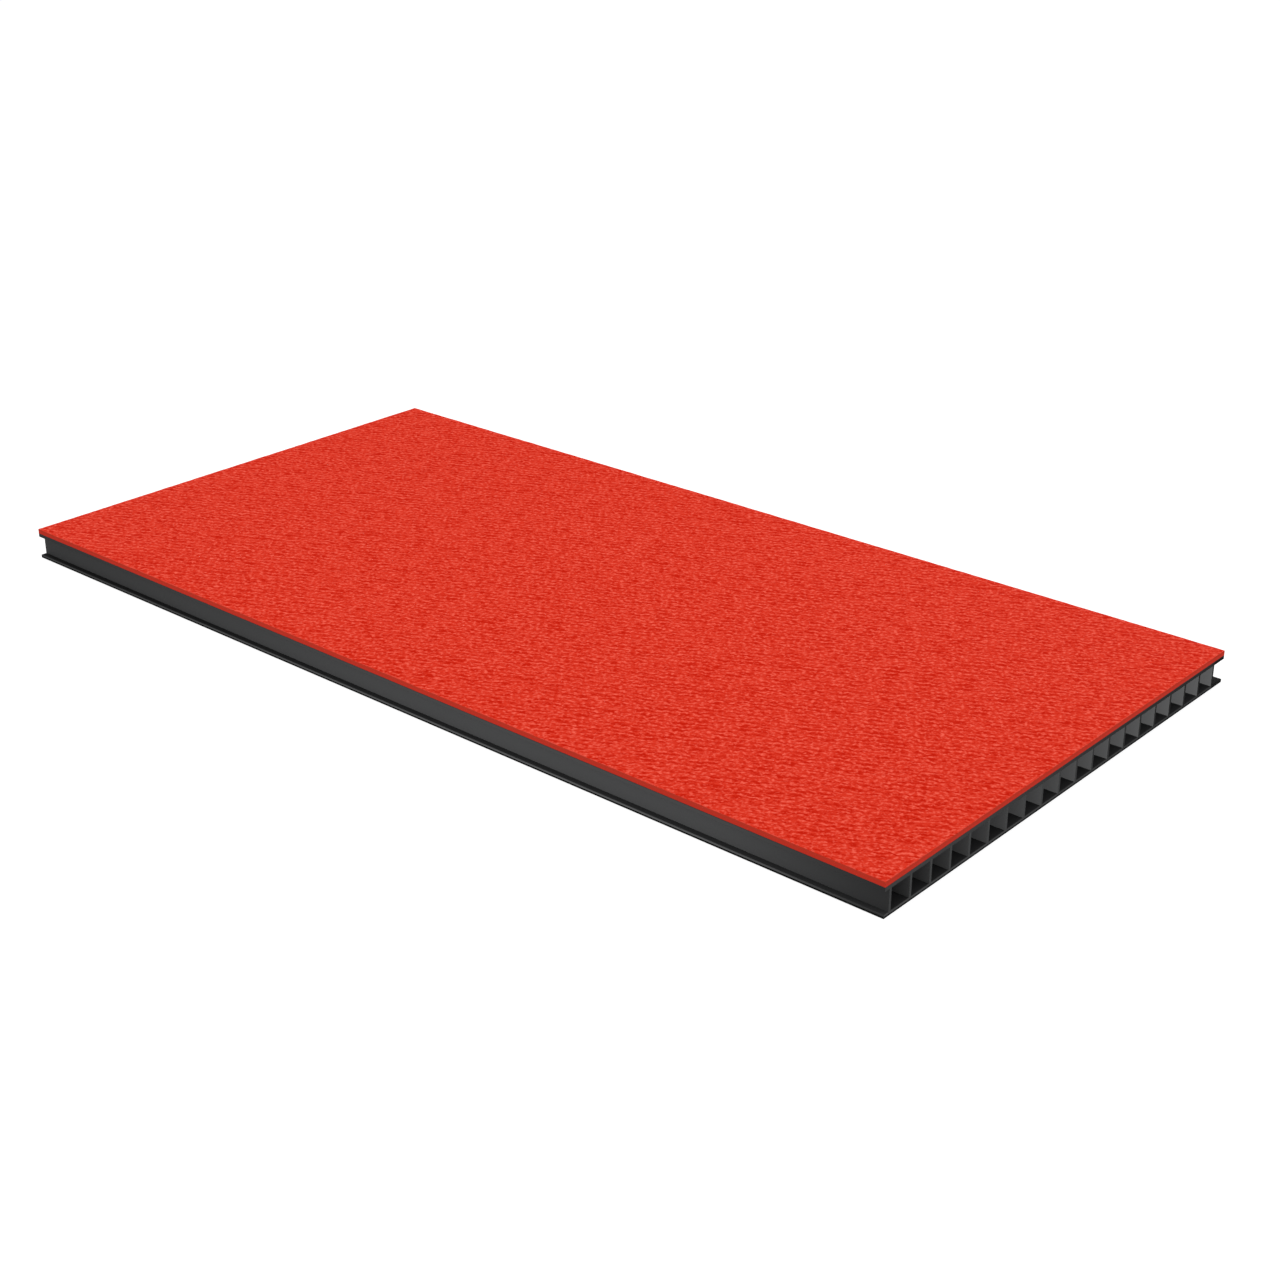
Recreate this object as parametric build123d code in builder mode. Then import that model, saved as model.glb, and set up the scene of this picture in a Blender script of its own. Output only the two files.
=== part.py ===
from build123d import *
from math import radians, tan
import os

# Stage riser deck: a hollow, ribbed panel with a top board and a carpet on it.
#
# Every layer has the same outline. From the floor up they are the bottom skin, the
# ribs, the top skin, the board and the carpet. The ribs run the whole length, are let
# into a groove in each skin, and leave open cells between them. The skins reach past
# the first and the last rib, which leaves an open channel along each long edge.
#
# X runs along the deck, Y across it from the front edge to the back edge, and Z up.
# The origin is at the middle of the underside. All sizes are in millimetres.

# Outline
deck_length = 2000.0
deck_width = 1000.0

# Layers
bottom_skin_thickness = 6.5
cell_height = 37.0
top_skin_thickness = 6.5
board_thickness = 6.0
carpet_thickness = 4.0

# Ribs
rib_count = 20
rib_thickness = 5.0
front_ledge = 11.0
back_ledge = 34.0
groove_depth = 1.5
glue_gap = 0.15

# Eased edges
skin_arris = 0.6
carpet_edge_radius = 0.8

# Countersunk screws, which hold the board to the top skin
screw_columns = 6
screw_rows = 4
screw_end_margin = 60.0
screw_diameter = 4.0
screw_head_diameter = 8.0
screw_head_angle = 90.0
screw_head_rim = 0.2
screw_head_depth = 0.2
screw_bite = 4.5
screw_point = 2.0
screw_gap = 0.1
recess_length = 4.4
recess_width = 1.0
recess_depth = 1.4

# Heights of the layers' faces
cell_floor = bottom_skin_thickness
cell_ceiling = cell_floor + cell_height
top_skin_top = cell_ceiling + top_skin_thickness
board_top = top_skin_top + board_thickness

# The ribs stand evenly between the two ledges
rib_pitch = (deck_width - front_ledge - back_ledge - rib_thickness) / (rib_count - 1)
first_rib = -deck_width / 2 + front_ledge + rib_thickness / 2
rib_lines = [first_rib + rib_pitch * number for number in range(rib_count)]
rib_height = groove_depth + cell_height + groove_depth
groove_width = glue_gap + rib_thickness + glue_gap

# Each row of screws stands over the middle of a cell, where its points meet no rib
last_cell = rib_count - 2
screw_cells = [round(last_cell * row / (screw_rows - 1)) for row in range(screw_rows)]
screw_spacing = (deck_length - 2 * screw_end_margin) / (screw_columns - 1)
first_screw = -deck_length / 2 + screw_end_margin
screw_places = [
    (first_screw + screw_spacing * column, rib_lines[cell] + rib_pitch / 2)
    for cell in screw_cells
    for column in range(screw_columns)
]

# A screw's radii and heights, and the holes that it passes through with a gap all round
shank_radius = screw_diameter / 2
head_radius = screw_head_diameter / 2
head_slope = tan(radians(screw_head_angle / 2))
head_top = board_top - screw_head_depth
head_edge = head_top - screw_head_rim
head_base = head_edge - (head_radius - shank_radius) / head_slope
screw_tip = top_skin_top - screw_bite
hole_radius = shank_radius + screw_gap
sink_radius = head_radius + screw_gap + (board_top - head_edge) * head_slope
pilot_depth = screw_bite + screw_gap

os.makedirs("parts", exist_ok=True)


# Bottom skin, grooved on its upper face
with BuildPart() as bottom_skin:
    with BuildSketch(Plane.XY):
        Rectangle(deck_length, deck_width)
    extrude(amount=bottom_skin_thickness)
    level_edges = bottom_skin.edges().filter_by(Plane.XY)
    chamfer(level_edges, skin_arris)
    with BuildSketch(Plane.XY.offset(cell_floor - groove_depth)):
        with Locations([(0, line) for line in rib_lines]):
            Rectangle(deck_length, groove_width)
    extrude(amount=groove_depth, mode=Mode.SUBTRACT)
bottom_skin.part.label = "bottom_skin"
export_step(bottom_skin.part, "parts/bottom_skin.step")


# Ribs, upright strips that reach from the floor of one groove to that of the other
for number, line in enumerate(rib_lines, start=1):
    with BuildPart() as rib:
        with BuildSketch(Plane.XY.offset(cell_floor - groove_depth)):
            with Locations((0, line)):
                Rectangle(deck_length, rib_thickness)
        extrude(amount=rib_height)
    rib.part.label = f"rib_{number:02d}"
    export_step(rib.part, f"parts/rib_{number:02d}.step")


# Top skin, grooved on its lower face and drilled for the screws
with BuildPart() as top_skin:
    with BuildSketch(Plane.XY.offset(cell_ceiling)):
        Rectangle(deck_length, deck_width)
    extrude(amount=top_skin_thickness)
    lower_edges = top_skin.faces().sort_by(Axis.Z)[0].edges()
    chamfer(lower_edges, skin_arris)
    with BuildSketch(Plane.XY.offset(cell_ceiling)):
        with Locations([(0, line) for line in rib_lines]):
            Rectangle(deck_length, groove_width)
    extrude(amount=groove_depth, mode=Mode.SUBTRACT)
    with Locations(Plane.XY.offset(top_skin_top)):
        with Locations(screw_places):
            Hole(hole_radius, pilot_depth)
top_skin.part.label = "top_skin"
export_step(top_skin.part, "parts/top_skin.step")


# Board that carries the carpet, countersunk for the screws
with BuildPart() as deck_board:
    with BuildSketch(Plane.XY.offset(top_skin_top)):
        Rectangle(deck_length, deck_width)
    extrude(amount=board_thickness)
    with Locations(Plane.XY.offset(board_top)):
        with Locations(screw_places):
            CounterSinkHole(
                hole_radius, sink_radius, board_thickness, screw_head_angle
            )
deck_board.part.label = "deck_board"
export_step(deck_board.part, "parts/deck_board.step")


# One countersunk screw with a cross recess, standing on the Z axis
with BuildPart() as board_screw:
    with BuildSketch(Plane.XZ):
        with BuildLine():
            Polyline(
                (0, screw_tip),
                (shank_radius, screw_tip + screw_point),
                (shank_radius, head_base),
                (head_radius, head_edge),
                (head_radius, head_top),
                (0, head_top),
                close=True,
            )
        make_face()
    revolve(axis=Axis.Z)
    with BuildSketch(Plane.XY.offset(head_top)):
        Rectangle(recess_length, recess_width)
        Rectangle(recess_width, recess_length)
    extrude(amount=-recess_depth, mode=Mode.SUBTRACT)

# The screws at their places, each a solid of its own
with BuildPart() as board_screws:
    with Locations(screw_places):
        add(board_screw.part)
board_screws.part.label = "board_screws"
export_step(board_screws.part, "parts/board_screws.step")


# Carpet, cut to the deck's outline and laid over the board
with BuildPart() as carpet:
    with BuildSketch(Plane.XY.offset(board_top)):
        Rectangle(deck_length, deck_width)
    extrude(amount=carpet_thickness)
    upper_edges = carpet.faces().sort_by(Axis.Z)[-1].edges()
    fillet(upper_edges, carpet_edge_radius)
carpet.part.label = "carpet"
export_step(carpet.part, "parts/carpet.step")
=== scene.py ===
from math import cos, pi, radians, sin

import bmesh
import bpy
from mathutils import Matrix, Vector


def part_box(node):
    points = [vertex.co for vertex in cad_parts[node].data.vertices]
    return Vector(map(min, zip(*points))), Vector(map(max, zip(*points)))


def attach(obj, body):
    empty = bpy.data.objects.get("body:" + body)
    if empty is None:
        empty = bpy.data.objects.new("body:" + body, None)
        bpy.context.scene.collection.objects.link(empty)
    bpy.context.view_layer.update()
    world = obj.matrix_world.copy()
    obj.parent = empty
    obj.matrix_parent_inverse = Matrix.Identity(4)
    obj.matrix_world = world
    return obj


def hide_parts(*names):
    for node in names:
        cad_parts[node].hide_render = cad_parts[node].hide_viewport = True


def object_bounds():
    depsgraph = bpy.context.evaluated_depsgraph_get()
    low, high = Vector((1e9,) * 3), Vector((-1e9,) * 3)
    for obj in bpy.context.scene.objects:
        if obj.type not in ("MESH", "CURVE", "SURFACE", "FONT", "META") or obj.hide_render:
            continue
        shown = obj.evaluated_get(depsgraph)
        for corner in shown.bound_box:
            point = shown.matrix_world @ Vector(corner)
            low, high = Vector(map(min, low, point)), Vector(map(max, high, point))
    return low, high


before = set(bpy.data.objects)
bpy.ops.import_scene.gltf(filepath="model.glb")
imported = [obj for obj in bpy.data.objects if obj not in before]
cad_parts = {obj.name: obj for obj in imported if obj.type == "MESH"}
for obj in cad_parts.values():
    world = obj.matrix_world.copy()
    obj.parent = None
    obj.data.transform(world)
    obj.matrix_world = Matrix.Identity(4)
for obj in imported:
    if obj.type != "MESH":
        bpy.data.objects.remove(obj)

CAD_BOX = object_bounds()
FELT_NODE = "carpet"
BOARD_NODE = "deck_board"
SCREW_NODE = "board_screws"
UPPER_SKIN_NODE = "top_skin"
LOWER_SKIN_NODE = "bottom_skin"
RIB_NODES = tuple(sorted(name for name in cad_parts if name.startswith("rib_")))
FELT_LOW, FELT_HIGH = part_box(FELT_NODE)
FELT_SIZE = FELT_HIGH - FELT_LOW
BOARD_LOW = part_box(BOARD_NODE)[0].z
CELLS_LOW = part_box(LOWER_SKIN_NODE)[1].z
CELLS_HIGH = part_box(UPPER_SKIN_NODE)[0].z
RIBS_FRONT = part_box(RIB_NODES[0])[0].y
RIBS_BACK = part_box(RIB_NODES[-1])[1].y
HALF_LENGTH = CAD_BOX[1].x
HALF_WIDTH = CAD_BOX[1].y

bl_info = {
    "name": "Stage riser deck",
    "version": (1, 0, 0),
    "blender": (4, 5, 0),
    "location": "View3D > Sidebar > Riser deck",
    "description": "Finishes a stage riser deck: felt carpet, board, hollow panel and studio",
    "category": "Add Mesh",
}


# ---- Settings that a user would change ----


def colour_setting(name, description, default):
    """A colour with its three parts, each from 0 to 1."""
    return bpy.props.FloatVectorProperty(
        name=name,
        description=description,
        subtype="COLOR",
        size=3,
        min=0.0,
        max=1.0,
        default=default,
    )


def length_setting(name, description, default):
    """A length in metres."""
    return bpy.props.FloatProperty(
        name=name,
        description=description,
        unit="LENGTH",
        min=0.0,
        precision=5,
        default=default,
    )


def angle_setting(name, description, degrees):
    """An angle, given here in degrees and kept in radians."""
    return bpy.props.FloatProperty(
        name=name,
        description=description,
        subtype="ANGLE",
        default=radians(degrees),
    )


def share_setting(name, description, default):
    """A share from 0 to 1."""
    return bpy.props.FloatProperty(
        name=name,
        description=description,
        subtype="FACTOR",
        min=0.0,
        max=1.0,
        default=default,
    )


def level_setting(name, description, default):
    """A plain number, such as a contrast."""
    return bpy.props.FloatProperty(
        name=name,
        description=description,
        min=0.0,
        default=default,
    )


def power_setting(name, description, default):
    """The power of a lamp, in watts."""
    return bpy.props.FloatProperty(
        name=name,
        description=description,
        unit="POWER",
        min=0.0,
        default=default,
    )


def pair_setting(name, description, default):
    """Two shares from 0 to 1, for two places that the description names."""
    return bpy.props.FloatVectorProperty(
        name=name,
        description=description,
        size=2,
        min=0.0,
        max=1.0,
        default=default,
    )


def point_setting(name, description, default):
    """A place in the studio, in metres."""
    return bpy.props.FloatVectorProperty(
        name=name,
        description=description,
        subtype="TRANSLATION",
        unit="LENGTH",
        size=3,
        default=default,
    )


class RiserFeltSettings(bpy.types.PropertyGroup):
    """Sizes and colours of the needled felt carpet"""

    body_colour: colour_setting("Felt", "Colour of most of the felt", (0.731, 0.0365, 0.0160))
    hollow_colour: colour_setting("Hollows", "Colour between the tufts", (0.59, 0.0115, 0.002))
    fibre_colour: colour_setting("Fibres", "Colour of the raised fibres", (0.94, 0.127, 0.083))
    cut_colour: colour_setting("Cut edge", "Colour of the cut edge", (0.435, 0.033, 0.0180))
    # Rim colour and width: a pale highlight painted along the carpet's front and right upper edges,
    # broken up by the fibres.
    rim_highlight_colour: colour_setting("Rim", "Colour of the fuzz along the rim", (0.74, 0.072, 0.047))
    rim_highlight_width: length_setting("Rim width", "Width of the fuzz along the rim", 0.0035)
    lay_angle: angle_setting("Lay", "Direction in which the tufts lie", 27)
    tuft_length: length_setting("Tuft length", "Length of a tuft in the felt", 0.0155)
    tuft_width: length_setting("Tuft width", "Width of a tuft in the felt", 0.0135)
    tuft_height: length_setting("Tuft height", "Height of the tufts", 0.0005)
    tuft_contrast: level_setting("Tuft contrast", "How much the tufts show", 0.70)
    strand_length: length_setting("Strand length", "Length of a strand in a tuft", 0.0086)
    strand_width: length_setting("Strand width", "Width of a strand in a tuft", 0.0058)
    strand_contrast: level_setting("Strand contrast", "How much the strands show", 1.55)
    patch_size: length_setting("Patch size", "Size of the patches of calmer felt", 0.03)
    patch_contrast: level_setting("Patch contrast", "How much paler calm patches are", 0.4)
    fibre_turn: angle_setting("Fibre turn", "Turn of the loose fibres from the lay", 14.324)
    fibre_length: length_setting("Fibre length", "Length of a loose fibre", 0.0066)
    fibre_width: length_setting("Fibre width", "Width of a loose fibre", 0.0056)
    wave_length: length_setting("Wave length", "Length of the soft waves", 0.034)
    wave_width: length_setting("Wave width", "Width of the soft waves", 0.018)
    wave_height: length_setting("Wave height", "Height of the soft waves", 0.0006)
    step_along: length_setting("Step along", "Spacing of mesh lines along the deck", 0.0064)
    step_across: length_setting("Step across", "Spacing of mesh lines across the deck", 0.00334)
    edge_radius: length_setting("Edge radius", "Rounding of the cut upper edge", 0.0008)


class RiserBoardSettings(bpy.types.PropertyGroup):
    """Colours and grain of the board under the carpet, and of its screws"""

    board_colour: colour_setting("Board", "Colour of the stained board", (0.515, 0.0295, 0.0155))
    grain_length: length_setting("Grain length", "Length of a line of the grain", 0.12)
    grain_width: length_setting("Grain width", "Width of a line of the grain", 0.0015)
    grain_height: length_setting("Grain height", "Height of a line on the board's edge", 0.0012)
    grain_depth: length_setting("Grain depth", "How deep the grain is", 0.0002)
    # A dark line painted along the board's foot: painted shadow where the board meets the skin.
    foot_shade_colour: colour_setting("Glue", "Colour of the glue under the board", (0.035, 0.022, 0.022))
    foot_shade_height: length_setting("Glue height", "How far up the board the glue shows", 0.001)
    screw_colour: colour_setting("Screws", "Colour of the plated screws", (0.60, 0.60, 0.58))
    screw_cloud: length_setting("Screw cloud", "Size of the clouds in the plating", 0.002)


class RiserPanelSettings(bpy.types.PropertyGroup):
    """Colours, painted shades and gloss of the hollow panel's skins and ribs"""

    # Sides, walls, ends, edges, skins and ledges are all one black plastic: their separate colours and
    # the shades that fade them are painted light and shade.
    side_colour: colour_setting("Sides", "Colour of the outer ribs' sides", (0.069, 0.0695, 0.0705))
    side_shade: pair_setting("Side shade", "Outer ribs' sides: left end, right end", (0.58, 0.35))
    # Paler than the outer sides: painted light inside the cells.
    wall_colour: colour_setting("Cell walls", "Colour inside the cells", (0.097, 0.0975, 0.0985))
    end_colour: colour_setting("Ends", "Colour of the cut ends", (0.071, 0.0715, 0.0725))
    # The ribs' cut ends are painted darker towards the back: painted shade.
    rib_shade: pair_setting("Rib shade", "Ribs' cut ends: front, back", (0.62, 0.04))
    # The skins' cut ends are painted darker towards the back and past the last rib: painted shade.
    front_shade: pair_setting("Front shade", "Skins' cut ends at the front: lower, upper", (1.0, 0.68))
    back_shade: pair_setting("Back shade", "Skins' cut ends at the back: lower, upper", (0.60, 0.31))
    lip_shade: share_setting("Lip shade", "Skins' cut ends past the last rib", 0.3)
    # The skins' long edges are painted paler than the ribs' sides, darker on the upper skin and
    # towards both ends: painted light and shade.
    edge_colour: colour_setting("Edges", "Colour of the skins' long edges", (0.112, 0.1125, 0.1135))
    edge_shade: pair_setting("Edge shade", "Skins' long edges: lower, upper", (1.0, 0.58))
    left_shade: pair_setting("Left shade", "Long edges at the left end: lower, upper", (0.45, 0.56))
    right_shade: pair_setting("Right shade", "Long edges at the right end: lower, upper", (0.19, 0.36))
    skin_colour: colour_setting("Skins", "Colour of the skins in the cells", (0.030, 0.030, 0.031))
    # The ledges past the ribs are painted darker towards the left end and the back: painted shade.
    ledge_colour: colour_setting("Ledges", "Colour of the skins past the ribs", (0.038, 0.038, 0.039))
    ledge_shade: pair_setting("Ledge shade", "Skins past the ribs: left end, back", (0.45, 0.28))
    # A dark band painted along the skins' lowest edge: painted shadow where the deck meets the floor.
    bottom_shade_colour: colour_setting("Grime", "Colour of the lowest edge", (0.004, 0.004, 0.004))
    bottom_shade_height: length_setting("Grime height", "How far up the grime goes", 0.0036)
    roughness: share_setting("Roughness", "Roughness of the moulded surface", 0.55)
    unevenness: share_setting("Unevenness", "How much the roughness varies", 0.1)
    rib_gloss: share_setting("Rib gloss", "Strength of the ribs' reflection", 0.02)
    skin_gloss: share_setting("Skin gloss", "Strength of the skins' reflection", 0.004)
    line_length: length_setting("Line length", "Length of a line from the moulding", 0.8)
    line_width: length_setting("Line width", "Width of a line from the moulding", 0.002)
    line_depth: length_setting("Line depth", "Depth of the lines from the moulding", 0.00005)
    mottle_length: length_setting("Mottle length", "Length of a duller patch", 0.05)
    mottle_width: length_setting("Mottle width", "Width of a duller patch", 0.03)


class RiserStudioSettings(bpy.types.PropertyGroup):
    """Camera, floor and lights"""

    azimuth: angle_setting("Azimuth", "Turn of the camera to the right of the front", 41.124)
    elevation: angle_setting("Elevation", "Height angle of the camera", 24.554)
    distance: length_setting("Distance", "From the camera to its aim", 3.5369)
    aim_along: length_setting("Aim along", "How far the aim is to the right", 0.2242)
    aim_forward: length_setting("Aim forward", "How far the aim is to the front", 0.1215)
    lens: bpy.props.FloatProperty(
        name="Lens",
        description="Focal length, in millimetres",
        unit="CAMERA",
        default=57.95,
    )
    sky: level_setting("Sky", "Strength of the even light all round", 0.55)
    key: power_setting("Key", "Power of the large lamp overhead", 58.0)
    key_height: length_setting("Key height", "Height of the large lamp", 4.0)
    key_size: length_setting("Key size", "Width of the large lamp", 4.0)
    round_light: power_setting("Round light", "Power of each lamp round the deck", 62.0)
    round_gap: length_setting("Round gap", "From the deck's sides to the lamps round it", 3.5)
    round_height: length_setting("Round height", "Height of the lamps round the deck", 0.5)
    round_size: length_setting("Round size", "Width of the lamps round the deck", 0.8)
    cell_light: power_setting("Cell light", "Power of the lamp for the cells", 420.0)
    cell_beam: angle_setting("Cell beam", "Spread of the lamp for the cells", 115)
    cell_radius: length_setting("Cell radius", "Radius of the lamp for the cells", 0.1)
    cell_place: point_setting("Cell place", "Place of the lamp for the cells", (2.45, -1.4, 0.55))
    cell_aim: point_setting("Cell aim", "Where the lamp for the cells points", (2.45, 1.0, 0.03))
    floor_size: length_setting("Floor size", "Width of the floor", 60.0)
    floor_colour: colour_setting("Floor", "Colour of the floor", (0.42, 0.42, 0.42))
    floor_glow: share_setting("Floor glow", "Whiteness that only an eye sees on the floor", 0.80)


# ---- Materials ----

BLACK = (0.0, 0.0, 0.0)
WHITE = (1.0, 1.0, 1.0)
WAVE_ROW = pi / 10  # the width of one row in a wave node of scale 1


class Wire:
    """A node's output. Arithmetic on it adds Math nodes to its tree."""

    def __init__(self, finish, socket):
        self.finish = finish
        self.socket = socket

    def combine(self, operation, first, second):
        """The result of one operation on two values or wires."""
        return self.finish.node("ShaderNodeMath", {"operation": operation}, {0: first, 1: second})

    def __add__(self, other):
        return self.combine("ADD", self, other)

    def __radd__(self, other):
        return self.combine("ADD", other, self)

    def __sub__(self, other):
        return self.combine("SUBTRACT", self, other)

    def __rsub__(self, other):
        return self.combine("SUBTRACT", other, self)

    def __mul__(self, other):
        return self.combine("MULTIPLY", self, other)

    def __rmul__(self, other):
        return self.combine("MULTIPLY", other, self)


class Finish:
    """A tree of shader nodes around one main node, for a material or for the sky."""

    def __init__(self, holder, main):
        holder.use_nodes = True
        self.holder = holder
        self.tree = holder.node_tree
        self.main = self.tree.nodes[main]

    def node(self, kind, settings, values, output=0):
        """Adds a node, sets it up, fills or links its inputs and returns one output."""
        node = self.tree.nodes.new(kind)
        for name, value in settings.items():
            setattr(node, name, value)
        for name, value in values.items():
            self.put(node.inputs[name], value)
        return Wire(self, node.outputs[output])

    def put(self, socket, value):
        """Links a wire to an input, or sets the input to a plain value."""
        if isinstance(value, Wire):
            self.tree.links.new(value.socket, socket)
        elif socket.type == "RGBA":
            socket.default_value = (*value[:3], 1.0)
        else:
            socket.default_value = value

    def shade(self, values):
        """Feeds the main node's inputs."""
        for name, value in values.items():
            self.put(self.main.inputs[name], value)

    def place(self):
        """Object coordinates, in metres."""
        return self.node("ShaderNodeTexCoord", {}, {}, "Object")

    def part(self, vector, axis):
        """One of a vector's three parts."""
        return self.node("ShaderNodeSeparateXYZ", {}, {0: vector}, axis)

    def turned(self, angle, size):
        """Object coordinates turned about Z and measured in a pattern's three sizes."""
        turned = self.node(
            "ShaderNodeMapping",
            {"vector_type": "POINT"},
            {"Vector": self.place(), "Rotation": (0.0, 0.0, -angle)},
        )
        return self.node(
            "ShaderNodeMapping",
            {"vector_type": "POINT"},
            {"Vector": turned, "Scale": tuple(1.0 / length for length in size)},
        )

    def laid(self, angle, length, width):
        """Object coordinates for a flat pattern, in which height counts for next to nothing."""
        return self.turned(angle, (length, width, 1.0))

    def noise(self, place, detail=2.0, roughness=0.5):
        """Soft noise with one lump for each unit of its coordinates."""
        return self.node(
            "ShaderNodeTexNoise",
            {"noise_type": "FBM"},
            {"Vector": place, "Scale": 1.0, "Detail": detail, "Roughness": roughness},
        )

    def ripple(self, place, distortion, detail):
        """Wandering rows along X, one for each unit of Y."""
        return self.node(
            "ShaderNodeTexWave",
            {"wave_type": "BANDS", "bands_direction": "Y", "wave_profile": "SIN"},
            {
                "Vector": place,
                "Scale": WAVE_ROW,
                "Distortion": distortion,
                "Detail": detail,
                "Detail Scale": 1.0 / WAVE_ROW,
                "Detail Roughness": 0.6,
            },
            "Fac",
        )

    def ramp(self, value, low, high, start=0.0, end=1.0):
        """Start where a value is at low, end where it is at high, and eased in between."""
        return self.node(
            "ShaderNodeMapRange",
            {"interpolation_type": "SMOOTHSTEP"},
            {"Value": value, "From Min": low, "From Max": high, "To Min": start, "To Max": end},
        )

    def slope(self, value, low, high):
        """0 where a value is at low, 1 where it is at high, and even in between."""
        return self.node(
            "ShaderNodeMapRange",
            {"interpolation_type": "LINEAR"},
            {"Value": value, "From Min": low, "From Max": high},
        )

    def facing(self, axis):
        """1 on faces that look along an axis, either way, and 0 on the others."""
        look = self.part(self.node("ShaderNodeTexCoord", {}, {}, "Normal"), axis)
        return self.ramp(look * look, low=0.4, high=0.6)

    def blend(self, share, first, second):
        """A colour that goes from the first to the second as share goes from 0 to 1."""
        factor, colour_a, colour_b, result = 0, 6, 7, 2  # a Mix node's sockets for colours
        return self.node(
            "ShaderNodeMix",
            {"data_type": "RGBA", "blend_type": "MIX"},
            {factor: share, colour_a: first, colour_b: second},
            result,
        )

    def bump(self, height, distance):
        """The surface normal for a height from 0 to 1, where 1 stands for a distance."""
        return self.node("ShaderNodeBump", {}, {"Height": height, "Distance": distance})

    def seen(self):
        """1 for the rays by which an eye sees things: straight, in a gloss or through glass."""
        seen = self.node("ShaderNodeLightPath", {}, {}, "Is Camera Ray")
        for name in ("Is Glossy Ray", "Is Transmission Ray"):
            ray = self.node("ShaderNodeLightPath", {}, {}, name)
            seen = self.node("ShaderNodeMath", {"operation": "MAXIMUM"}, {0: seen, 1: ray})
        return seen


def surface(name, specular=0.5, metallic=0.0):
    """A new material's tree around its Principled shader."""
    finish = Finish(bpy.data.materials.new(name), "Principled BSDF")
    finish.shade({"Specular IOR Level": specular, "Metallic": metallic})
    return finish


def darker(colour, share):
    """A colour at a share of its brightness."""
    return tuple(part * share for part in colour)


def felt_rim_highlight(finish, settings):
    """1 along the carpet's front and right edges, where a pale highlight is painted, and 0 further in.
    """
    width = settings.rim_highlight_width
    along = finish.part(finish.place(), "X")
    across = finish.part(finish.place(), "Y")
    right = finish.ramp(along, FELT_HIGH.x - width, FELT_HIGH.x - width / 2)
    front = finish.ramp(across, FELT_LOW.y + width, FELT_LOW.y + width / 2)
    return right + front


def felt_finish(settings):
    """Needled felt: rippled, darker in the hollows, with pale loose fibres on its face, and a painted
    highlight along its front and right edges.
    """
    finish = surface("needled_felt", specular=0.02)
    finish.shade(
        {
            "Roughness": 0.95,
            "Sheen Weight": 0.01,
            "Sheen Roughness": 0.5,
            "Sheen Tint": settings.fibre_colour,
        }
    )
    lay = settings.lay_angle
    tuft_place = finish.laid(lay, settings.tuft_length, settings.tuft_width)
    patch_place = finish.laid(lay, settings.patch_size, settings.patch_size)
    strand_place = finish.laid(lay, settings.strand_length, settings.strand_width)
    fibre_lay = lay + settings.fibre_turn
    fibre_place = finish.laid(fibre_lay, settings.fibre_length, settings.fibre_width)
    tufts = finish.ripple(tuft_place, distortion=6.5, detail=2.0)
    patches = finish.noise(patch_place, detail=2.0)
    strands = finish.noise(strand_place, detail=2.0, roughness=0.62)
    fibres = finish.noise(fibre_place, detail=1.0, roughness=0.65)

    # The level is about 0, higher on the tufts and lower between them.
    tuft_share = finish.ramp(patches, low=0.35, high=0.65, start=0.35, end=1.0)
    level = (tufts - 0.5) * tuft_share * settings.tuft_contrast
    level = level + (strands - 0.5) * settings.strand_contrast
    level = level + (0.5 - patches) * settings.patch_contrast
    hollow = finish.slope(level, low=0.05, high=-0.38)
    raised = finish.slope(fibres + level * 0.3, low=0.50, high=0.76)
    # A pale highlight painted along the front and right edges, broken up by the fibres.
    rim = felt_rim_highlight(finish, settings) * finish.slope(fibres, low=0.42, high=0.58)
    cut = 1.0 - finish.facing("Z")

    colour = finish.blend(hollow, settings.body_colour, settings.hollow_colour)
    colour = finish.blend(raised, colour, settings.fibre_colour)
    colour = finish.blend(rim, colour, settings.rim_highlight_colour)
    finish.shade(
        {
            "Base Color": finish.blend(cut, colour, settings.cut_colour),
            "Normal": finish.bump(tufts * 0.5 + strands * 0.5, settings.tuft_height),
        }
    )
    return finish.holder


def board_finish(settings):
    """Red stained board with a faint grain along its length, and a painted shadow line along its foot,
    where it meets the skin.
    """
    finish = surface("stained_board", specular=0.04)
    grain_size = (settings.grain_length, settings.grain_width, settings.grain_height)
    grain = finish.noise(finish.turned(0.0, grain_size), detail=3.0)
    stain = finish.blend(grain, darker(settings.board_colour, 0.85), settings.board_colour)
    height = finish.part(finish.place(), "Z")
    # Painted shadow line along the board's foot, where it meets the skin.
    foot_shade_top = BOARD_LOW + settings.foot_shade_height
    softness = 0.0003
    above_foot_shade = finish.ramp(height, foot_shade_top - softness, foot_shade_top + softness)
    finish.shade(
        {
            "Base Color": finish.blend(above_foot_shade, settings.foot_shade_colour, stain),
            "Roughness": 0.7,
            "Normal": finish.bump(grain, settings.grain_depth),
        }
    )
    return finish.holder


def screw_finish(settings):
    """Zinc plated steel, a little clouded."""
    finish = surface("plated_screws", metallic=1.0)
    cloud = finish.noise(finish.turned(0.0, (settings.screw_cloud,) * 3))
    plating = finish.blend(cloud, darker(settings.screw_colour, 0.8), settings.screw_colour)
    finish.shade(
        {
            "Base Color": plating,
            "Roughness": finish.ramp(cloud, low=0.3, high=0.7, start=0.28, end=0.45),
        }
    )
    return finish.holder


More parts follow.
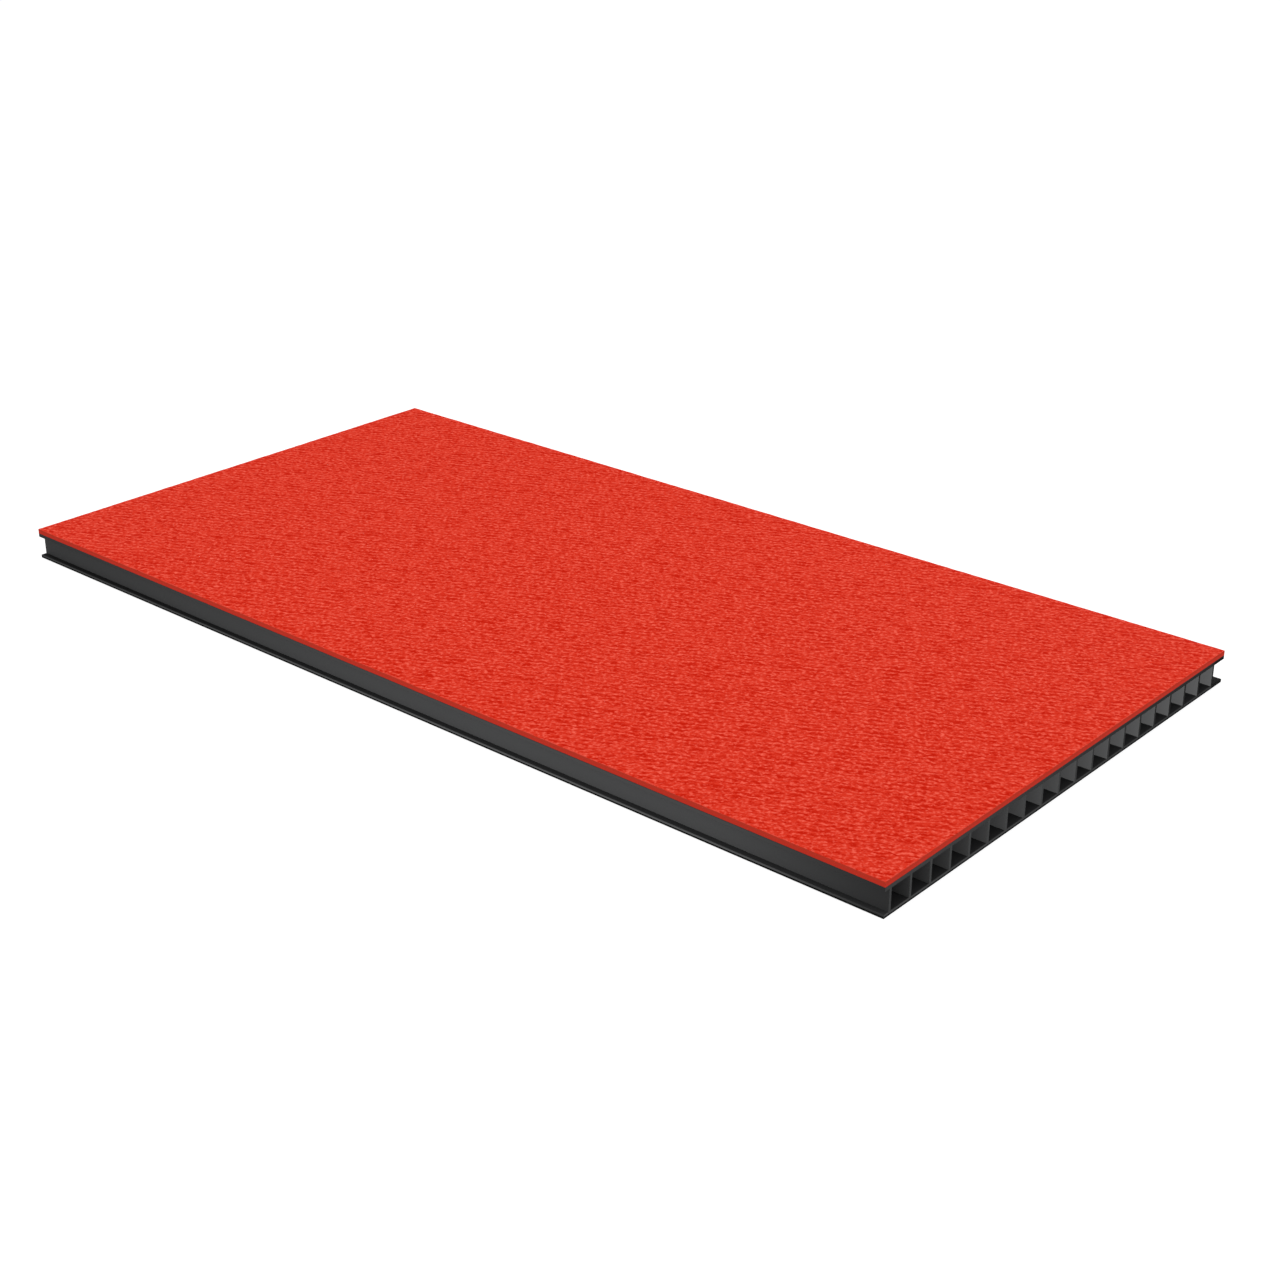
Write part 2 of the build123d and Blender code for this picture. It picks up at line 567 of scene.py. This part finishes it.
def moulded(name, settings, gloss):
    """A moulded surface with faint lines along the panel, and no colour yet."""
    finish = surface(name, specular=gloss)
    line_size = (settings.line_length, settings.line_width, settings.line_width)
    mottle_size = (settings.mottle_length, settings.mottle_width, settings.mottle_width)
    lines = finish.noise(finish.turned(0.0, line_size), detail=3.0)
    mottle = finish.noise(finish.turned(0.0, mottle_size), detail=4.0, roughness=0.6)
    finish.shade(
        {
            "Roughness": settings.roughness + (mottle - 0.5) * settings.unevenness,
            "Normal": finish.bump(lines, settings.line_depth),
        }
    )
    return finish


def along_side(finish, left, right):
    """The painted shade of the long sides: 1 right of the middle, and darker towards both ends."""
    along = finish.part(finish.place(), "X")
    dark_left, pale_left = -1.2 * HALF_LENGTH, 0.4 * HALF_LENGTH
    pale_right, dark_right = 0.65 * HALF_LENGTH, 1.1 * HALF_LENGTH
    fade_left = finish.ramp(along, dark_left, pale_left, left, 1.0)
    fade_right = finish.ramp(along, pale_right, dark_right, 1.0, right)
    return fade_left * fade_right


def along_end(finish, front, back):
    """The painted shade of the cut ends, from the front of the deck to the back."""
    across = finish.part(finish.place(), "Y")
    full_front, full_back = -HALF_WIDTH, 0.9 * HALF_WIDTH
    return finish.ramp(across, full_front, full_back, front, back)


def by_skin(finish, shades):
    """The first of two painted shades on the lower skin, and the second on the upper skin."""
    height = finish.part(finish.place(), "Z")
    lower, upper = shades
    return finish.ramp(height, CELLS_LOW, CELLS_HIGH, lower, upper)


def outer_sides(finish):
    """1 on the first rib's front and on the last rib's back, and 0 inside the cells."""
    across = finish.part(finish.place(), "Y")
    near, far = 0.001, 0.002
    front = finish.ramp(across, RIBS_FRONT + near, RIBS_FRONT + far, 1.0, 0.0)
    back = finish.ramp(across, RIBS_BACK - far, RIBS_BACK - near)
    return front + back


def rib_finish(settings):
    """Ribs: one black plastic in painted light and shade, darker on the panel's two outer sides and at
    the cut ends, paler inside the cells.
    """
    finish = moulded("panel_rib", settings, settings.rib_gloss)
    side_shade = along_side(finish, *settings.side_shade)
    side = finish.blend(side_shade, BLACK, settings.side_colour)
    # Inside the cells the ribs take the paler wall colour: painted light.
    face = finish.blend(outer_sides(finish), settings.wall_colour, side)
    end_shade = along_end(finish, *settings.rib_shade)
    end = finish.blend(end_shade, BLACK, settings.end_colour)
    finish.shade({"Base Color": finish.blend(finish.facing("Y"), end, face)})
    return finish.holder


def skin_side(finish, settings):
    """The skins' long edges, with painted shade that fades them towards both ends and darkens the
    upper skin.
    """
    left = by_skin(finish, settings.left_shade)
    right = by_skin(finish, settings.right_shade)
    shade = along_side(finish, left, right) * by_skin(finish, settings.edge_shade)
    return finish.blend(shade, BLACK, settings.edge_colour)


def skin_end(finish, settings):
    """The skins' cut ends, with painted shade that darkens them towards the back and most past the
    last rib.
    """
    front = by_skin(finish, settings.front_shade)
    back = by_skin(finish, settings.back_shade)
    across = finish.part(finish.place(), "Y")
    lip_starts, lip_full = RIBS_BACK - 0.01, RIBS_BACK + 0.005
    lip = finish.ramp(across, lip_starts, lip_full, 1.0, settings.lip_shade)
    return finish.blend(along_end(finish, front, back) * lip, BLACK, settings.end_colour)


def skin_flat(finish, settings):
    """The skins' flat faces: one colour between the ribs, and ledges outside them with painted shade
    that fades them.
    """
    along = finish.part(finish.place(), "X")
    across = finish.part(finish.place(), "Y")
    left, back = settings.ledge_shade
    dark_left, pale_right = -1.1 * HALF_LENGTH, 0.8 * HALF_LENGTH
    fade = finish.ramp(along, dark_left, pale_right, left, 1.0)
    ledge = finish.blend(along_end(finish, 1.0, back) * fade, BLACK, settings.ledge_colour)
    softness = 0.001
    past_first = finish.ramp(across, RIBS_FRONT - softness, RIBS_FRONT)
    past_last = finish.ramp(across, RIBS_BACK, RIBS_BACK + softness)
    return finish.blend(past_first - past_last, ledge, settings.skin_colour)


def skin_finish(settings):
    """Skins: dull flat faces, long edges and cut ends in painted light and shade, and a painted shadow
    along the lowest edge.
    """
    finish = moulded("panel_skin", settings, settings.skin_gloss)
    edge = finish.blend(
        finish.facing("Y"), skin_end(finish, settings), skin_side(finish, settings)
    )
    height = finish.part(finish.place(), "Z")
    # Painted shadow along the lowest edge.
    reach = settings.bottom_shade_height
    softness = 0.0004
    lowest_edge_shade = finish.ramp(height, reach - softness, reach + softness, 1.0, 0.0)
    edge = finish.blend(lowest_edge_shade, edge, settings.bottom_shade_colour)
    flat = skin_flat(finish, settings)
    finish.shade({"Base Color": finish.blend(finish.facing("Z"), edge, flat)})
    return finish.holder


def dress(name, material):
    """Gives a CAD node its material."""
    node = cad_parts[name]
    node.data.materials.clear()
    node.data.materials.append(material)


# ---- Modelling ----


def deselect():
    """Leaves edit mode, and leaves nothing selected."""
    if bpy.context.object and bpy.context.object.mode != "OBJECT":
        bpy.ops.object.mode_set(mode="OBJECT")
    bpy.ops.object.select_all(action="DESELECT")


def pick_edges(piece, wanted):
    """In edit mode, selects the edges whose two ends are both wanted, and nothing else."""
    bpy.ops.mesh.select_mode(type="EDGE")
    bpy.ops.mesh.select_all(action="DESELECT")
    edit = bmesh.from_edit_mesh(piece.data)
    for edge in edit.edges:
        edge.select_set(all(wanted(end.co) for end in edge.verts))
    bmesh.update_edit_mesh(piece.data)


def on_outline(point):
    """True at the sides of the carpet."""
    near = 0.00001
    return (
        min(point.x - FELT_LOW.x, FELT_HIGH.x - point.x) < near
        or min(point.y - FELT_LOW.y, FELT_HIGH.y - point.y) < near
    )


class RISER_OT_carpet(bpy.types.Operator):
    """Models the felt carpet, laid over the whole board, in the place of its plain slab"""

    bl_idname = "riser.carpet"
    bl_label = "Carpet"

    def execute(self, context):
        settings = context.scene.riser_felt
        felt = self.add_face(settings)
        self.add_cut_edge(felt, settings)
        self.add_pile_group(felt)
        self.raise_waves(felt, settings)
        bpy.ops.object.shade_smooth_by_angle(angle=radians(45))
        felt.data.materials.append(felt_finish(settings))
        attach(felt, "root")
        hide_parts(FELT_NODE)
        return {"FINISHED"}

    def add_face(self, settings):
        """The upper face, as a grid fine enough to take the waves."""
        middle = (FELT_LOW + FELT_HIGH) / 2
        deselect()
        bpy.ops.mesh.primitive_grid_add(
            x_subdivisions=round(FELT_SIZE.x / settings.step_along),
            y_subdivisions=round(FELT_SIZE.y / settings.step_across),
            size=1.0,
            location=(middle.x, middle.y, FELT_HIGH.z),
        )
        felt = bpy.context.object
        felt.name = "felt_carpet"
        felt.scale = (FELT_SIZE.x, FELT_SIZE.y, 1.0)
        bpy.ops.object.transform_apply(location=True, rotation=True, scale=True)
        return felt

    def add_cut_edge(self, felt, settings):
        """The sides down to the board, the underside and the softened upper edge."""
        bpy.ops.object.mode_set(mode="EDIT")
        pick_edges(felt, on_outline)
        bpy.ops.mesh.extrude_edges_move(
            TRANSFORM_OT_translate={"value": (0.0, 0.0, -FELT_SIZE.z)}
        )
        bpy.ops.mesh.edge_face_add()
        bpy.ops.mesh.select_all(action="SELECT")
        bpy.ops.mesh.normals_make_consistent(inside=False)
        middle = (FELT_LOW.z + FELT_HIGH.z) / 2
        pick_edges(felt, lambda point: on_outline(point) and point.z > middle)
        bpy.ops.mesh.bevel(offset=settings.edge_radius, segments=2, affect="EDGES")
        bpy.ops.object.mode_set(mode="OBJECT")

    def add_pile_group(self, felt):
        """Weights that let the face move and hold the underside on the board."""
        group = felt.vertex_groups.new(name="pile")
        for point in felt.data.vertices:
            share = (point.co.z - FELT_LOW.z) / FELT_SIZE.z
            group.add([point.index], max(0.0, min(1.0, share)), "REPLACE")

    def raise_waves(self, felt, settings):
        """Gives the face soft waves that run along the lay, up and down from where it is."""
        guide = bpy.data.objects.new("lay_guide", None)
        guide.rotation_euler = (0.0, 0.0, settings.lay_angle)
        guide.scale = (settings.wave_length, settings.wave_width, 1.0)
        bpy.context.scene.collection.objects.link(guide)
        bpy.context.view_layer.update()
        lumps = bpy.data.textures.new("felt_lumps", "CLOUDS")
        lumps.noise_scale = 1.0
        lumps.noise_depth = 1
        lumps.noise_basis = "ORIGINAL_PERLIN"
        modifier = felt.modifiers.new("waves", "DISPLACE")
        modifier.texture = lumps
        modifier.texture_coords = "OBJECT"
        modifier.texture_coords_object = guide
        modifier.direction = "Z"
        modifier.vertex_group = "pile"
        # The texture's middle stays level, so it swings by half the strength each way.
        modifier.mid_level = 0.5
        modifier.strength = 2.0 * settings.wave_height
        bpy.context.view_layer.objects.active = felt
        bpy.ops.object.modifier_apply(modifier="waves")
        bpy.data.objects.remove(guide)
        bpy.data.textures.remove(lumps)


class RISER_OT_board(bpy.types.Operator):
    """Finishes the board under the carpet and the screws that hold it"""

    bl_idname = "riser.board"
    bl_label = "Board and screws"

    def execute(self, context):
        settings = context.scene.riser_board
        dress(BOARD_NODE, board_finish(settings))
        dress(SCREW_NODE, screw_finish(settings))
        return {"FINISHED"}


class RISER_OT_panel(bpy.types.Operator):
    """Finishes the skins and ribs of the hollow panel"""

    bl_idname = "riser.panel"
    bl_label = "Hollow panel"

    def execute(self, context):
        settings = context.scene.riser_panel
        skin = skin_finish(settings)
        for name in (UPPER_SKIN_NODE, LOWER_SKIN_NODE):
            dress(name, skin)
        rib = rib_finish(settings)
        for name in RIB_NODES:
            dress(name, rib)
        return {"FINISHED"}


class RISER_OT_studio(bpy.types.Operator):
    """Sets up the camera, the pale floor, the white sky and the soft lights"""

    bl_idname = "riser.studio"
    bl_label = "Studio"

    def execute(self, context):
        settings = context.scene.riser_studio
        self.add_camera(context.scene, settings)
        self.add_floor(settings)
        self.add_sky(context.scene, settings)
        overhead = (0.0, 0.0, settings.key_height)
        self.add_lamp("key_lamp", overhead, settings.key_size, settings.key)
        self.add_round_lamps(settings)
        self.add_cell_lamp(settings)
        context.scene.view_settings.view_transform = "Standard"
        return {"FINISHED"}

    def add_camera(self, scene, settings):
        """A camera that looks at a point level with the top of the carpet."""
        aim = Vector((settings.aim_along, -settings.aim_forward, CAD_BOX[1].z))
        away = Vector(
            (
                cos(settings.elevation) * sin(settings.azimuth),
                -cos(settings.elevation) * cos(settings.azimuth),
                sin(settings.elevation),
            )
        )
        camera = bpy.data.cameras.new("camera")
        camera.sensor_width = 36.0
        camera.lens = settings.lens
        scene.camera = self.set_up(camera, aim + away * settings.distance, aim)

    def set_up(self, device, place, aim):
        """Sets up a camera or a lamp at a place, turned to its aim."""
        holder = bpy.data.objects.new(device.name, device)
        holder.location = place
        towards = Vector(aim) - Vector(place)
        holder.rotation_euler = towards.to_track_quat("-Z", "Y").to_euler()
        bpy.context.scene.collection.objects.link(holder)
        return holder

    def add_floor(self, settings):
        """A pale floor that looks white and still takes a soft shadow."""
        deselect()
        bpy.ops.mesh.primitive_plane_add(
            size=settings.floor_size, location=(0.0, 0.0, CAD_BOX[0].z)
        )
        floor = bpy.context.object
        floor.name = "studio_floor"
        finish = surface("studio_floor", specular=0.0)
        glow = (settings.floor_glow,) * 3
        finish.shade(
            {
                "Base Color": settings.floor_colour,
                "Roughness": 0.9,
                "Emission Color": finish.blend(finish.seen(), BLACK, glow),
                "Emission Strength": 1.0,
            }
        )
        finish.holder.cycles.emission_sampling = "NONE"
        floor.data.materials.append(finish.holder)

    def add_sky(self, scene, settings):
        """An even light all round, which an eye sees as white."""
        scene.world = bpy.data.worlds.new("studio_sky")
        sky = Finish(scene.world, "Background")
        strength = settings.sky + sky.seen() * (1.0 - settings.sky)
        sky.shade({"Color": WHITE, "Strength": strength})

    def add_lamp(self, name, place, size, power):
        """A square lamp at a place, turned to the middle of the deck."""
        lamp = bpy.data.lights.new(name, "AREA")
        lamp.shape = "SQUARE"
        lamp.size = size
        lamp.energy = power
        middle = (0.0, 0.0, 0.0)
        holder = self.set_up(lamp, place, middle)
        holder.visible_camera = False

    def add_round_lamps(self, settings):
        """Four low lamps, one off the middle of each side of the deck."""
        far_along = HALF_LENGTH + settings.round_gap
        far_across = HALF_WIDTH + settings.round_gap
        for name, along, across in (
            ("front_lamp", 0.0, -far_across),
            ("right_lamp", far_along, 0.0),
            ("back_lamp", 0.0, far_across),
            ("left_lamp", -far_along, 0.0),
        ):
            place = (along, across, settings.round_height)
            self.add_lamp(name, place, settings.round_size, settings.round_light)

    def add_cell_lamp(self, settings):
        """A small lamp for every rib but the first, which lights the cells at the back most."""
        lamp = bpy.data.lights.new("cell_lamp", "SPOT")
        lamp.energy = settings.cell_light
        lamp.spot_size = settings.cell_beam
        lamp.spot_blend = 1.0
        lamp.shadow_soft_size = settings.cell_radius
        holder = self.set_up(lamp, settings.cell_place, settings.cell_aim)
        holder.visible_camera = False
        lit = bpy.data.collections.new("lit_ribs")
        for name in RIB_NODES[1:]:
            lit.objects.link(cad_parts[name])
        holder.light_linking.receiver_collection = lit


# Each operator, the name of its settings in a scene, and their group
PIECES = (
    (RISER_OT_studio, "riser_studio", RiserStudioSettings),
    (RISER_OT_panel, "riser_panel", RiserPanelSettings),
    (RISER_OT_board, "riser_board", RiserBoardSettings),
    (RISER_OT_carpet, "riser_felt", RiserFeltSettings),
)


class RISER_PT_sidebar(bpy.types.Panel):
    """Lists the deck's pieces, each with its settings"""

    bl_idname = "RISER_PT_sidebar"
    bl_label = "Riser deck"
    bl_space_type = "VIEW_3D"
    bl_region_type = "UI"
    bl_category = "Riser deck"

    def draw(self, context):
        for operator, name, group in PIECES:
            box = self.layout.box()
            box.operator(operator.bl_idname)
            for setting in group.__annotations__:
                box.prop(getattr(context.scene, name), setting)


def register():
    """Registers the settings, the operators and the sidebar."""
    for operator, name, group in PIECES:
        bpy.utils.register_class(group)
        bpy.utils.register_class(operator)
        setattr(bpy.types.Scene, name, bpy.props.PointerProperty(type=group))
    bpy.utils.register_class(RISER_PT_sidebar)


def unregister():
    """Takes away what register added, in the opposite order."""
    bpy.utils.unregister_class(RISER_PT_sidebar)
    for operator, name, group in reversed(PIECES):
        delattr(bpy.types.Scene, name)
        bpy.utils.unregister_class(operator)
        bpy.utils.unregister_class(group)


def main():
    """Makes the deck and its studio."""
    register()
    bpy.ops.riser.studio()
    bpy.ops.riser.panel()
    bpy.ops.riser.board()
    bpy.ops.riser.carpet()
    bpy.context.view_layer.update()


if __name__ == "__main__":
    main()
